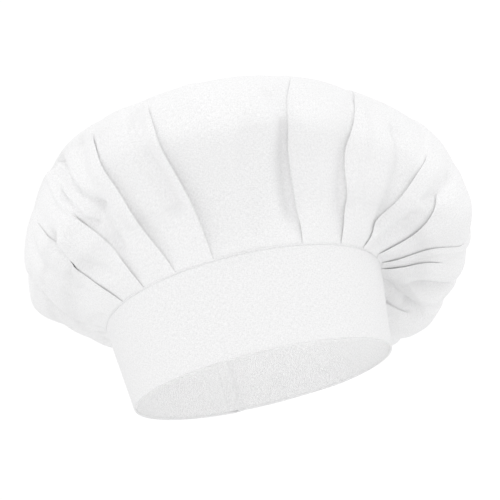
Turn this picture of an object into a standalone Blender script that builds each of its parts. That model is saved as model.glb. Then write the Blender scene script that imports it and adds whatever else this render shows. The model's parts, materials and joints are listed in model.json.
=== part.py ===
"""Chef's toque: a soft crown gathered into a stiff head band, which a tab closes at the back with hook and loop tape.

Metres, +Z up. The origin is the middle of the head opening, level with the band's lower edge, and the wearer
looks along -Y. Angles go round the head in degrees from the brow (-Y) towards +X, as a fraction of the band's oval.
"""

import math

import bmesh
import bpy
import numpy as np

# Head band: the oval of its outside at the lower edge, and how much wider the oval is at the upper edge.
BAND_HALF_WIDTH = 0.092
BAND_HALF_LENGTH = 0.101
BAND_HEIGHT = 0.060
BAND_FLARE = 0.098
BAND_STEP_DEG = 4.0

# The band's layers, counted inwards from its outside.
CLOTH = 0.0005
GAP = 0.0003
CORE = 0.0008
CORE_DEPTH = CLOTH + GAP
FACING_DEPTH = CORE_DEPTH + CORE + GAP
BAND_THICKNESS = FACING_DEPTH + CLOTH
SEAM_ALLOWANCE = 0.010

# Closure: the tab covers the end of the band, which is tucked in behind it.
HINGE_DEG = 197.0
TAB_END_DEG = 165.0
TAB_LOW = 0.002
TAB_HIGH = 0.057
TAB_CORNER = 0.012
TUCK_START_DEG = 138.0
HINGE_GAP = 0.0002
TAPE_LOW = 0.018
TAPE_HIGH = 0.043
HOOK_TAPE = 0.0010
LOOP_TAPE = 0.0012
HOOK_DEPTH = BAND_THICKNESS + GAP
LOOP_DEPTH = HOOK_DEPTH + HOOK_TAPE + GAP
TUCK = LOOP_DEPTH + LOOP_TAPE + GAP
TAPE_MARGIN_DEG = 3.5

# Stitching: thread radius, how far its middle stands off the cloth, and its distance from an edge.
THREAD_RADIUS = 0.0002
THREAD_STANDOFF = 0.0005
TOPSTITCH_HEIGHT = 0.0575
EDGE_STITCH_INSET = 0.003
TAPE_STITCH_INSET = 0.002

# Crown: how far out its fullest line lies and how high, and the slope at which it leaves the band (0 is level),
# each given every 45 degrees round the head from the brow. It flops low behind the wearer's +X side.
CROWN_REACH = (0.172, 0.160, 0.179, 0.182, 0.168, 0.152, 0.149, 0.155)
CROWN_LEVEL = (0.120, 0.118, 0.098, 0.058, 0.090, 0.125, 0.095, 0.126)
CROWN_SLOPE_DEG = (60.0, 45.0, -20.0, -52.0, 0.0, 5.0, 35.0, 42.0)
CROWN_TOP = (0.020, 0.011, 0.182)
CROWN_CLOTH = 0.0008
LOWER_PULL = (0.80, 0.31)
UPPER_PULL = (0.70, 0.68)
PLEATS = 20
PLEAT_DEPTH = 0.004
COLUMNS_PER_PLEAT = 5
LOWER_ROWS = 6
UPPER_ROWS = 7
SLIT_HALF_WIDTH_DEG = 1.6
SLIT_ROWS = 4

parts = bpy.data.collections.new("chef_toque")


def clear_scene():
    for obj in list(bpy.data.objects):
        bpy.data.objects.remove(obj, do_unlink=True)
    bpy.context.scene.collection.children.link(parts)


def cloth_material(name, colour, roughness):
    material = bpy.data.materials.new(name)
    material.use_nodes = True
    shader = material.node_tree.nodes["Principled BSDF"]
    shader.inputs["Base Color"].default_value = (*colour, 1.0)
    shader.inputs["Roughness"].default_value = roughness
    shader.inputs["Metallic"].default_value = 0.0
    return material


def smoothstep(value):
    value = np.clip(value, 0.0, 1.0)
    return value * value * (3.0 - 2.0 * value)


def tuck_at(degrees):
    """How far the under end of the band lies inside the oval."""
    return TUCK * smoothstep((degrees - TUCK_START_DEG) / (TAB_END_DEG - 1.0 - TUCK_START_DEG))


def band_point(degrees, height, depth):
    """A point `depth` inside the band's outer oval at this height."""
    angle = np.radians(degrees)
    size = 1.0 + BAND_FLARE * height / BAND_HEIGHT
    across, along = np.sin(angle) / BAND_HALF_WIDTH, -np.cos(angle) / BAND_HALF_LENGTH
    length = np.hypot(across, along)
    x = BAND_HALF_WIDTH * size * np.sin(angle) - depth * across / length
    y = -BAND_HALF_LENGTH * size * np.cos(angle) - depth * along / length
    return np.stack([x, y, height + 0.0 * x], axis=-1)


def stations(first, last, step=BAND_STEP_DEG):
    """Angles from first to last, on round multiples of step between them, so that layers share their facets."""
    inner = np.arange(math.ceil(first / step + 0.2), math.floor(last / step - 0.2) + 1) * step
    return np.concatenate([[first], inner, [last]])


def add_object(name, mesh, material, parent=None):
    obj = bpy.data.objects.new(name, mesh)
    mesh.materials.append(material)
    parts.objects.link(obj)
    if parent is not None:
        obj.parent = parent
        obj.matrix_parent_inverse = parent.matrix_world.inverted()
    return obj


def sweep(name, angles, section, material, parent=None):
    """A closed bar whose section, a ring of (depth, height) pairs, may change from one angle to the next."""
    bm = bmesh.new()
    rings = []
    for angle in angles:
        corners = [band_point(angle, height, depth) for depth, height in section(angle)]
        rings.append([bm.verts.new(corner) for corner in corners])
    count = len(rings[0])
    for ring, following in zip(rings, rings[1:]):
        for i in range(count):
            j = (i + 1) % count
            bm.faces.new((ring[i], ring[j], following[j], following[i]))
    bm.faces.new(rings[0][::-1])
    bm.faces.new(rings[-1])
    bmesh.ops.recalc_face_normals(bm, faces=bm.faces)
    mesh = bpy.data.meshes.new(name)
    bm.to_mesh(mesh)
    bm.free()
    obj = add_object(name, mesh, material, parent)
    mesh.shade_smooth()
    mesh.set_sharp_from_angle(angle=math.radians(30.0))
    return obj


def wall(depth, thickness, low, high, tucked=False):
    """The section of one upright layer."""

    def section(angle):
        start = depth + (tuck_at(angle) if tucked else 0.0)
        return ((start, low), (start, high), (start + thickness, high), (start + thickness, low))

    return section


def thread(name, route, material, closed=False, parent=None):
    """A line of stitches as one thin tube along a route of points."""
    curve = bpy.data.curves.new(name, "CURVE")
    curve.dimensions = "3D"
    curve.bevel_depth = THREAD_RADIUS
    curve.bevel_resolution = 0
    curve.use_fill_caps = not closed
    spline = curve.splines.new("POLY")
    spline.points.add(len(route) - 1)
    for point, place in zip(spline.points, route):
        point.co = (*place, 1.0)
    spline.use_cyclic_u = closed
    return add_object(name, curve, material, parent)


def build_band(white, inner_white, lining):
    first = HINGE_DEG - 360.0 + math.degrees(HINGE_GAP / BAND_HALF_LENGTH)
    angles = stations(first, HINGE_DEG)

    def outer_section(angle):
        tuck = tuck_at(angle)
        return (
            (tuck, 0.0),
            (tuck, BAND_HEIGHT),
            (tuck + CLOTH, BAND_HEIGHT),
            (tuck + CLOTH, CLOTH),
            (tuck + BAND_THICKNESS, CLOTH),
            (tuck + BAND_THICKNESS, 0.0),
        )

    floor = CLOTH + GAP
    core_top = BAND_HEIGHT - SEAM_ALLOWANCE - 2.0 * GAP
    sweep("band_outer", angles, outer_section, white)
    sweep("band_interlining", angles, wall(CORE_DEPTH, CORE, floor, core_top, tucked=True), lining)
    sweep("band_facing", angles, wall(FACING_DEPTH, CLOTH, floor, BAND_HEIGHT, tucked=True), inner_white)


def build_topstitch(material):
    angles = stations(HINGE_DEG - 358.5, HINGE_DEG - 1.5)
    route = [band_point(a, TOPSTITCH_HEIGHT, tuck_at(a) - THREAD_STANDOFF) for a in angles]
    thread("band_topstitch", route, material)


def along_band(start_deg, distance):
    """The angle that lies `distance` along the band's lower edge from start_deg, towards smaller angles."""
    steps = np.linspace(0.0, 60.0, 601)
    track = band_point(start_deg - steps, 0.5 * BAND_HEIGHT, 0.0)
    travelled = np.concatenate([[0.0], np.cumsum(np.linalg.norm(np.diff(track, axis=0), axis=1))])
    return start_deg - float(np.interp(distance, travelled, steps))


def tab_length():
    track = band_point(np.linspace(HINGE_DEG, TAB_END_DEG, 200), 0.5 * BAND_HEIGHT, 0.0)
    return float(np.linalg.norm(np.diff(track, axis=0), axis=1).sum())


def tab_edges(distance, inset=0.0):
    """The tab's lower and upper edge at a distance from its root: its two free corners are rounded."""
    radius = TAB_CORNER - inset
    past = distance - (tab_length() - TAB_CORNER)
    rise = radius - math.sqrt(max(radius**2 - max(past, 0.0) ** 2, 0.0))
    return TAB_LOW + inset + rise, TAB_HIGH - inset - rise


def tab_distances(root, end):
    straight = np.linspace(root, tab_length() - TAB_CORNER, 8)
    corner = np.sin(np.linspace(0.0, 1.0, 7)[1:] * math.pi / 2.0)
    return np.concatenate([straight, straight[-1] + (end - straight[-1]) * corner])


def build_tab(hinge, white, inner_white, lining):
    """The tab's three layers. Angles fall from the hinge to the tab's free end."""

    def layer(name, depth, thickness, inset, material):
        distances = tab_distances(HINGE_GAP, tab_length() - inset)
        by_angle = {along_band(HINGE_DEG, d): tab_edges(d, inset) for d in distances}

        def section(angle):
            low, high = by_angle[angle]
            return ((depth, low), (depth, high), (depth + thickness, high), (depth + thickness, low))

        sweep(name, list(by_angle), section, material, hinge)

    layer("tab_outer", 0.0, CLOTH, 0.0, white)
    layer("tab_interlining", CORE_DEPTH, CORE, 0.001, lining)
    layer("tab_facing", FACING_DEPTH, CLOTH, 0.0, inner_white)


def build_tab_stitching(hinge, material):
    distances = tab_distances(0.003, tab_length() - EDGE_STITCH_INSET)
    places = [(along_band(HINGE_DEG, d), tab_edges(d, EDGE_STITCH_INSET)) for d in distances]
    upper = [band_point(angle, edges[1], -THREAD_STANDOFF) for angle, edges in places]
    lower = [band_point(angle, edges[0], -THREAD_STANDOFF) for angle, edges in reversed(places)]
    thread("tab_edge_stitching", upper + lower, material, parent=hinge)


def tape_frame(first, last, depth):
    """The four sides of the box stitch that holds a tape, in order round it."""
    angles = stations(first, last)
    low, high = TAPE_LOW + TAPE_STITCH_INSET, TAPE_HIGH - TAPE_STITCH_INSET
    return [band_point(a, high, depth) for a in angles] + [band_point(a, low, depth) for a in angles[::-1]]


def build_tapes(hinge, hook_material, loop_material, thread_material):
    first, last = TAB_END_DEG + TAPE_MARGIN_DEG, HINGE_DEG - TAPE_MARGIN_DEG
    hook_angles = stations(first, last)
    sweep("hook_tape", hook_angles, wall(HOOK_DEPTH, HOOK_TAPE, TAPE_LOW, TAPE_HIGH), hook_material, hinge)
    sweep("loop_tape", hook_angles, wall(LOOP_DEPTH, LOOP_TAPE, TAPE_LOW, TAPE_HIGH), loop_material)
    inset = math.degrees(TAPE_STITCH_INSET / BAND_HALF_LENGTH)
    outside = tape_frame(first + inset, last - inset, -THREAD_STANDOFF)
    inside = tape_frame(first + inset, last - inset, TUCK + BAND_THICKNESS + THREAD_STANDOFF)
    thread("hook_tape_stitching", outside, thread_material, closed=True, parent=hinge)
    thread("loop_tape_stitching", inside, thread_material, closed=True)


def around(values, degrees):
    """A smooth closed curve through values spaced evenly round the head from the brow."""
    values = np.asarray(values)
    count = len(values)
    place = (np.asarray(degrees) / 360.0 * count) % count
    index = np.floor(place).astype(int)
    t = place - index
    a, b, c, d = (values[(index + k) % count] for k in (-1, 0, 1, 2))
    return b + 0.5 * t * (c - a + t * (2.0 * a - 5.0 * b + 4.0 * c - d + t * (3.0 * (b - c) + d - a)))


def bezier(start, first, second, end, t):
    t = t[:, None, None]
    u = 1.0 - t
    return u**3 * start + 3.0 * u**2 * t * first + 3.0 * u * t**2 * second + t**3 * end


def crown_shape(degrees):
    """The unpleated crown as rows of points, from its seam allowance inside the band up to its middle."""
    angle = np.radians(degrees)
    out = np.stack([np.sin(angle), -np.cos(angle), 0.0 * angle], axis=-1)
    up = np.array([0.0, 0.0, 1.0])
    reach, level = around(CROWN_REACH, degrees), around(CROWN_LEVEL, degrees)
    slope = np.radians(around(CROWN_SLOPE_DEG, degrees))[:, None]
    depth = CORE_DEPTH + 0.5 * CORE + tuck_at(degrees)
    allowance = band_point(degrees, BAND_HEIGHT - SEAM_ALLOWANCE, depth)
    inside_lip = band_point(degrees, BAND_HEIGHT + 0.0012, depth)
    outside_lip = band_point(degrees, BAND_HEIGHT + 0.0015, -0.0008 + 0.0 * depth)
    fullest = out * reach[:, None] + up * level[:, None]
    span = np.linalg.norm(fullest - outside_lip, axis=1, keepdims=True)
    away = out * np.cos(slope) + up * np.sin(slope)
    leave = outside_lip + span * LOWER_PULL[0] * away
    arrive = fullest - up * span * LOWER_PULL[1]
    lower = bezier(outside_lip, leave, arrive, fullest, np.linspace(0.0, 1.0, LOWER_ROWS + 1))
    top = np.array(CROWN_TOP)
    climb = fullest + up * (top[2] - level)[:, None] * UPPER_PULL[0]
    level_in = top + (fullest - top) * np.array([1.0, 1.0, 0.0]) * UPPER_PULL[1]
    upper = bezier(fullest, climb, level_in, top + 0.0 * fullest, np.linspace(0.0, 1.0, UPPER_ROWS + 1))
    return np.concatenate([allowance[None], inside_lip[None], lower, upper[1:-1]])


def surface_normals(rows):
    along = np.gradient(rows, axis=0)
    round_head = np.roll(rows, -1, axis=1) - np.roll(rows, 1, axis=1)
    normals = np.cross(round_head, along)
    return normals / np.linalg.norm(normals, axis=2, keepdims=True)


def slit_half_widths(row_count):
    """Half the slit's width in degrees at each row: open at the band and closing to nothing above."""
    rows = np.arange(row_count)
    return SLIT_HALF_WIDTH_DEG * np.clip(1.0 - (rows - 2) / SLIT_ROWS, 0.0, 1.0)


def crown_sheet():
    """The pleated crown as a grid of points from its seam up, its normals, and half the slit's width at each row.

    The first and last columns are the slit's two sides, and meet above it.
    """
    columns = PLEATS * COLUMNS_PER_PLEAT
    share = np.arange(columns + 1) / columns
    row_count = 2 + LOWER_ROWS + UPPER_ROWS
    widths = slit_half_widths(row_count)
    rows = []
    for row, width in enumerate(widths):
        degrees = HINGE_DEG - 360.0 + width + share * (360.0 - 2.0 * width)
        rows.append(crown_shape(degrees)[row])
    grid = np.array(rows)
    normals = surface_normals(grid[:, :-1])
    normals = np.concatenate([normals, normals[:, :1]], axis=1)
    climbed = np.clip((np.arange(row_count) - 2.0) / (row_count - 2.0), 0.0, 1.0)
    swell = np.sin(np.pi * climbed) ** 0.7
    wave = np.cos(2.0 * np.pi * PLEATS * share)
    grid = grid + PLEAT_DEPTH * swell[:, None, None] * wave[None, :, None] * normals
    return grid, normals, widths


def add_sheet(name, bm, thickness, material):
    """Thickens an open sheet of cloth evenly to both sides."""
    bmesh.ops.recalc_face_normals(bm, faces=bm.faces)
    mesh = bpy.data.meshes.new(name)
    bm.to_mesh(mesh)
    bm.free()
    obj = add_object(name, mesh, material)
    mesh.shade_smooth()
    solidify = obj.modifiers.new("cloth", "SOLIDIFY")
    solidify.thickness = thickness
    solidify.offset = 0.0


def fill_between(bm, rings):
    """Joins each row of vertices to the next. Where a row's vertices meet, the face is left out or loses a corner."""
    for ring, above in zip(rings, rings[1:]):
        for i in range(len(ring) - 1):
            corners = list(dict.fromkeys((ring[i], ring[i + 1], above[i + 1], above[i])))
            if len(corners) > 2:
                bm.faces.new(corners)


def build_crown(material):
    """The crown is one sheet: closed over the head, open at the band and at the slit above the closure."""
    grid, _, widths = crown_sheet()
    bm = bmesh.new()
    rings = []
    for points, width in zip(grid, widths):
        ring = [bm.verts.new(point) for point in points[:-1]]
        ring.append(bm.verts.new(points[-1]) if width > 0.0 else ring[0])
        rings.append(ring)
    middle = bm.verts.new(CROWN_TOP)
    rings.append([middle] * len(rings[0]))
    fill_between(bm, rings)
    add_sheet("crown", bm, CROWN_CLOTH, material)


def build_slit_facing(material):
    """The strip of cloth behind the slit's two sides, joined above its top."""
    grid, normals, widths = crown_sheet()
    inside = grid - (0.5 * CROWN_CLOTH + GAP + 0.5 * CLOTH) * normals
    bm = bmesh.new()
    rings = []
    for points, width in list(zip(inside, widths))[3 : SLIT_ROWS + 4]:
        before, edge = bm.verts.new(points[-2]), bm.verts.new(points[-1])
        other_edge = bm.verts.new(points[0]) if width > 0.0 else edge
        rings.append([before, edge, other_edge, bm.verts.new(points[1])])
    fill_between(bm, [ring[:2] for ring in rings])
    fill_between(bm, [ring[2:] for ring in rings])
    add_sheet("crown_slit_facing", bm, CLOTH, material)


def main():
    clear_scene()
    white = cloth_material("white_poplin", (0.88, 0.885, 0.89), 0.85)
    inner_white = cloth_material("white_twill", (0.84, 0.845, 0.85), 0.9)
    lining = cloth_material("stiffener", (0.80, 0.80, 0.79), 0.95)
    tape = cloth_material("white_tape", (0.82, 0.82, 0.82), 0.7)
    cotton = cloth_material("white_thread", (0.9, 0.9, 0.9), 0.6)

    foot, head = band_point(HINGE_DEG, 0.0, 0.0), band_point(HINGE_DEG, BAND_HEIGHT, 0.0)
    hinge = bpy.data.objects.new("closure_hinge", None)
    parts.objects.link(hinge)
    hinge.location = 0.5 * (foot + head)
    bpy.context.view_layer.update()

    build_crown(white)
    build_slit_facing(white)
    build_band(white, inner_white, lining)
    build_topstitch(cotton)
    build_tab(hinge, white, inner_white, lining)
    build_tab_stitching(hinge, cotton)
    build_tapes(hinge, tape, tape, cotton)


main()
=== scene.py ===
"""Looks of the chef's toque: pleated crown, stiff head band, and the tab that closes it at the back."""

import json
import math

import bmesh
import bpy
import numpy as np
from mathutils import Matrix, Vector
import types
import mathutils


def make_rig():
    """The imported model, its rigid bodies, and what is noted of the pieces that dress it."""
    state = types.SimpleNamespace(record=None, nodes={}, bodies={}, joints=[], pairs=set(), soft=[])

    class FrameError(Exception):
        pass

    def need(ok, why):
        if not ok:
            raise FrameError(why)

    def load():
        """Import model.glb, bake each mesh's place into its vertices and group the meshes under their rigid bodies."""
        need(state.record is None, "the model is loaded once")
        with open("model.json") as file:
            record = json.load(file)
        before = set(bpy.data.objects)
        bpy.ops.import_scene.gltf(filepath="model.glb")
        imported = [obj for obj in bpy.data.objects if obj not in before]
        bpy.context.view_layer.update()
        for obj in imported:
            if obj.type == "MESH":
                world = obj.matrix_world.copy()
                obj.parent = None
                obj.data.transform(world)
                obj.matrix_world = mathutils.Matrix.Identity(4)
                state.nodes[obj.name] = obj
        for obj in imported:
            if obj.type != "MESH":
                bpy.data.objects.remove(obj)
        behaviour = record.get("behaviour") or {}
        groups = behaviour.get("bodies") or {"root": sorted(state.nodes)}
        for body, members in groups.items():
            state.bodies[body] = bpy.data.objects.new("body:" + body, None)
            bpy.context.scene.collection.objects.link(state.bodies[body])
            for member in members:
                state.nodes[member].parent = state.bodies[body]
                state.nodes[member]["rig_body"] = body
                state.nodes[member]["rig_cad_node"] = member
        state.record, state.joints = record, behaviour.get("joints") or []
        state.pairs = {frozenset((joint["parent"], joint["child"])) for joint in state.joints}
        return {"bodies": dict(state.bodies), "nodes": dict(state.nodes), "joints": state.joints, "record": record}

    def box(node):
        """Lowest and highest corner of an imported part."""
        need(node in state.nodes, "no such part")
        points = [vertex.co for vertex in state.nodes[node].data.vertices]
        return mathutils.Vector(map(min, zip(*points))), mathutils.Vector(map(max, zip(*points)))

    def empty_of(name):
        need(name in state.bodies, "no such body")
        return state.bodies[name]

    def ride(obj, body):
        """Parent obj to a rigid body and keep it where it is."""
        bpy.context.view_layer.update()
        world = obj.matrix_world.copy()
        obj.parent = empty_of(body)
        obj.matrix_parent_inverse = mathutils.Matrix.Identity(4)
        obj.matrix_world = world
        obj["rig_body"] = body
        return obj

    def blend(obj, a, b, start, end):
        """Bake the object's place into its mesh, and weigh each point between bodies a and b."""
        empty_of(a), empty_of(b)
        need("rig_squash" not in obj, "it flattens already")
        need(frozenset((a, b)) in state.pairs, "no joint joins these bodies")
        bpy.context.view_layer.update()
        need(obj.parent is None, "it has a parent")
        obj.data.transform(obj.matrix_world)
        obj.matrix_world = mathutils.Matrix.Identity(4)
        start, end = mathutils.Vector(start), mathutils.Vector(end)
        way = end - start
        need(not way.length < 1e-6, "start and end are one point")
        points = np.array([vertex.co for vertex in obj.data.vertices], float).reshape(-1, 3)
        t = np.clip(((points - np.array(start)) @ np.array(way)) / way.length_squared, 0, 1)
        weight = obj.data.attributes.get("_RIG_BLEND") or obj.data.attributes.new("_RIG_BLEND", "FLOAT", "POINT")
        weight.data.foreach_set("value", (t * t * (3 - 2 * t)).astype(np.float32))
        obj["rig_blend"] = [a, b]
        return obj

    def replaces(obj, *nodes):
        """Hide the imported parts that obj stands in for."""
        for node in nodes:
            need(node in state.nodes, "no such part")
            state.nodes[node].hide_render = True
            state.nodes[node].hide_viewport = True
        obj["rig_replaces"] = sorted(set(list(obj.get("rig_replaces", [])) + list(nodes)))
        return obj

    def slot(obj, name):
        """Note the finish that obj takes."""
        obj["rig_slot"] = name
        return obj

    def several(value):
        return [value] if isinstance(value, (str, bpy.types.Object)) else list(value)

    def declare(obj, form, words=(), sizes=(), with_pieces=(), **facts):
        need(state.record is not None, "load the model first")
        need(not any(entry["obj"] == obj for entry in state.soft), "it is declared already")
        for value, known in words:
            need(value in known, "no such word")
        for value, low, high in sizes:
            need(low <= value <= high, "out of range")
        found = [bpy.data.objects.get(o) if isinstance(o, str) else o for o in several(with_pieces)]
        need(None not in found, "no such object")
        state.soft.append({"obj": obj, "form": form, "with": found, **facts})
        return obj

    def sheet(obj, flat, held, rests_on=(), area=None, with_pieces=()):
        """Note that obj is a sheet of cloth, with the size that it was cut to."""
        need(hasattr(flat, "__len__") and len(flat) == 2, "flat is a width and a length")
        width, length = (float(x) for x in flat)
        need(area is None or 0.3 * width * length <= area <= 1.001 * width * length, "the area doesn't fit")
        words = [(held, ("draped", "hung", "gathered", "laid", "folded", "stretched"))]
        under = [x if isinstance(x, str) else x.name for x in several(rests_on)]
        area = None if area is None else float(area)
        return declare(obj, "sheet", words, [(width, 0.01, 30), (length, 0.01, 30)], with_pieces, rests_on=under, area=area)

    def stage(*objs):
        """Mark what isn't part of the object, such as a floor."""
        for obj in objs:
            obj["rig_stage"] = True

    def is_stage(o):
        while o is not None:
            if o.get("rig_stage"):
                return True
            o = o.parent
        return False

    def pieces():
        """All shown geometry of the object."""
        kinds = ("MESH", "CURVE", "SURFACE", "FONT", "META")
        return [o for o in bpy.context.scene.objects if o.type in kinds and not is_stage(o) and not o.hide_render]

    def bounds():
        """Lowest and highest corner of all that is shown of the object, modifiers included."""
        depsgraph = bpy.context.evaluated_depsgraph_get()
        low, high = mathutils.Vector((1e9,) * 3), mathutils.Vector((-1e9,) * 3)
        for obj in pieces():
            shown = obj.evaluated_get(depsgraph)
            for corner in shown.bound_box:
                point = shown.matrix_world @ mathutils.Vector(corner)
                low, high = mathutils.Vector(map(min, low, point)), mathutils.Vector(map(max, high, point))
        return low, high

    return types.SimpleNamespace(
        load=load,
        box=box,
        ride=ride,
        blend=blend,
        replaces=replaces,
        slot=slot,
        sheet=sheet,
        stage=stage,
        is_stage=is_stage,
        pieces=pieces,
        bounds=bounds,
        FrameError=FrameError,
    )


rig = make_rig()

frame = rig.load()
cad_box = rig.bounds()
scene = bpy.context.scene
rng = np.random.default_rng(7)

# ---- driving dimensions, shared with the CAD part
BAND_HALF_WIDTH = 0.092
BAND_HALF_LENGTH = 0.101
BAND_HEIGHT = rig.box("band_outer")[1].z
BAND_FLARE = 0.098
HINGE_DEG = 197.0
TAB_END_DEG = 165.0
TAB_LOW = 0.002
TAB_HIGH = 0.057
TAB_CORNER = 0.012
TAB_ONSET = 0.002
TAB_ONSET_RUN = 0.006
TUCK_START_DEG = 138.0
TUCK = 0.0055
END_PRESS = 0.0035
END_PRESS_DEG = 3.4
END_THIN_FROM_DEG = 6.0
END_THIN_RUN_DEG = 4.0
END_COVER_DEG = 4.5
COVER_GAP = 0.00015
CROWN_REACH = (0.179, 0.154, 0.178, 0.179, 0.168, 0.152, 0.152, 0.142)
CROWN_LEVEL = (0.120, 0.130, 0.098, 0.044, 0.090, 0.128, 0.104, 0.150)
CROWN_SLOPE_DEG = (60.0, 45.0, -20.0, -54.0, 0.0, 4.0, 42.0, 42.0)
CROWN_TOP = (0.019, 0.015, 0.176)
LOWER_PULL = (0.80, 0.31)
UPPER_PULL = (0.70, 0.68)
LOWER_CROWDING = 1.25
LIP = 0.0014
LIP_DROP = 0.0012

# ---- finer sizes, of the cloth itself
CROWN_FLAT_RADIUS = 0.270
CROWN_DEPTH = 0.0008
BAND_WALL = 0.0016
ROLL = BAND_WALL / 2.0
LINING_DEPTH = BAND_WALL + 0.00012
LINING_INSET = 0.0018
SEAM_STITCH_INSET = 0.0014
STITCH_GROOVE = 0.0003
EDGE_STITCH_INSET = 0.003
TAPE_LOW = 0.018
TAPE_HIGH = 0.043
TAPE_MARGIN = 0.006
TAPE_THICKNESS = 0.0006
SLIT_HALF_WIDTH_DEG = 1.3
SLIT_TOP = 0.055
SPLIT_DEG = 210.0
BEND = 0.004
TAB_STEP = 0.0015
EDGE_TURNS = 8
GROOVE_HALF_WIDTH = 0.0004
ALLOWANCE_DROPS = (0.008, 0.005, 0.002)
FACING_WIDTH = 0.008
FACING_DEPTH = 0.00045
FACING_EXTRA = 0.004
SLIT_STITCH_INSET = 0.0025
STITCH_CLEARANCE = 0.00002
LOOSE_HEIGHT = 0.0006
LOOSE_CELLS = (9, 60)

# Pleats: the crease's angle at the seam and 30, 60, 90 and 120 mm up the cloth, the side whose cloth
# lies on top (1 the side of larger angles, -1 the other), how far up it stays crisp, and its depth.
PLEATS = (
    ((-152.0, -151.0, -150.0, -151.0, -152.0), -1, 0.9, 0.6),
    ((-139.0, -141.0, -140.0, -139.0, -138.0), -1, 1.1, 0.7),
    ((-125.0, -130.0, -130.0, -129.0, -128.0), -1, 0.8, 0.6),
    ((-112.0, -121.0, -121.0, -120.0, -119.0), 1, 1.0, 0.6),
    ((-98.0, -111.0, -111.0, -110.0, -109.0), 1, 0.8, 0.8),
    ((-84.5, -99.5, -99.0, -98.0, -97.0), 1, 0.9, 1.2),
    ((-79.0, -85.6, -76.5, -79.0, -82.0), 1, 1.1, 2.0),
    ((-50.1, -53.3, -53.6, -61.0, -65.0), -1, 2.0, 0.28),
    ((-36.7, -36.1, -39.7, -46.5, -51.0), -1, 1.35, 0.85),
    ((-22.0, -24.1, -23.6, -23.4, -23.8), -1, 2.4, 0.9),
    ((-7.5, -8.0, -8.8, -8.5, -8.7), -1, 2.7, 1.0),
    ((25.6, 21.9, 18.2, 17.0, 19.8), 1, 3.0, 0.9),
    ((43.0, 38.7, 34.3, 36.4, 40.4), 1, 2.8, 0.9),
    ((56.8, 57.6, 58.2, 63.0, 67.0), 1, 1.9, 0.65),
    ((71.5, 71.2, 67.2, 78.0, 84.0), 1, 1.4, 0.5),
    ((83.0, 80.8, 88.0, 95.0, 98.0), 1, 1.5, 0.4),
    ((90.5, 86.9, 94.0, 101.0, 103.0), 1, 1.0, 0.35),
    ((98.5, 95.4, 102.0, 108.0, 110.0), -1, 2.0, 1.9),
    ((113.5, 114.9, 114.4, 116.0, 118.0), 1, 1.0, 0.8),
    ((128.0, 129.0, 131.0, 130.0, 129.0), 1, 1.0, 0.8),
    ((141.0, 142.0, 140.0, 138.0, 137.0), 1, 0.9, 0.9),
    ((154.0, 153.0, 155.0, 156.0, 156.0), 1, 1.2, 0.8),
    ((167.0, 167.5, 169.0, 170.0, 170.0), 1, 0.8, 0.9),
    ((181.0, 182.0, 180.0, 180.0, 181.0), 1, 1.0, 0.8),
)
CREASE_STEP = 0.03
SOFTEST = 1.25
BROW_DEG = 9.0

# The folded section at a crease, point by point from the lower cloth to the upper one: metres from the
# crease towards the upper side ("tip" and "past" lie just short of and just beyond the hidden fold's
# tip), share of the hollow, share of the step. The last three numbers say where the point lies once the
# fold has opened out: share of the wave's reach, of the hollow and of the step.
FOLD_SECTION = (
    (-0.0080, -0.50, 0.0, -1.00, -0.15, 0.0),
    (-0.0025, -1.00, 0.0, -0.75, -0.40, 0.0),
    (0.0010, -0.55, 0.0, -0.50, -0.70, 0.0),
    (0.0028, -0.03, -0.05, -0.32, -0.88, 0.0),
    ("tip", 0.0, -0.05, -0.18, -0.97, 0.0),
    ("past", 0.0, -0.05, -0.06, -1.00, 0.0),
    ("past", 0.0, 0.03, 0.06, -0.93, 0.05),
    ("tip", 0.0, 0.05, 0.18, -0.75, 0.2),
    (0.0035, 0.0, 0.06, 0.30, -0.50, 0.4),
    (0.0008, 0.0, 0.12, 0.42, -0.28, 0.65),
    (-0.0006, 0.0, 0.25, 0.55, -0.10, 0.9),
    (-0.0004, 0.0, 1.05, 0.70, 0.0, 1.0),
    (0.0018, 0.0, 1.20, 0.90, 0.0, 1.0),
)
TIP_HALF = 0.0006
OPENING_FROM = 0.022
OPENING_RUN = 0.030

# How the folds change up the cloth, as (metres from the seam, metres): how far a fold's upper cloth
# stands off, how far the lower cloth sinks before the fold, how far a panel swells, how much cloth a
# fold hides, and how far the wave of an opened fold reaches to each side.
STEP_RAMP = ((0, 0.0005), (0.006, 0.0008), (0.02, 0.0011), (0.045, 0.0012), (0.07, 0.0009),
             (0.095, 0.0005), (0.12, 0.0002), (0.16, 0.0001), (0.25, 0.0))
HOLLOW_RAMP = ((0, 0.0), (0.004, 0.0007), (0.010, 0.0020), (0.03, 0.0034), (0.05, 0.0034),
               (0.07, 0.0027), (0.09, 0.0017), (0.12, 0.0006), (0.15, 0.0001), (0.2, 0.0))
BULGE_RAMP = ((0, 0.0), (0.01, 0.0006), (0.03, 0.0022), (0.06, 0.0026), (0.09, 0.0010),
              (0.12, 0.0003), (0.25, 0.0))
OVERLAP_RAMP = ((0, 0.019), (0.010, 0.017), (0.025, 0.012), (0.040, 0.004), (0.05, 0.0))
REACH_RAMP = ((0.03, 0.005), (0.05, 0.009), (0.07, 0.014), (0.1, 0.020), (0.2, 0.028))
WIDE_PANEL = 0.045

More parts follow.
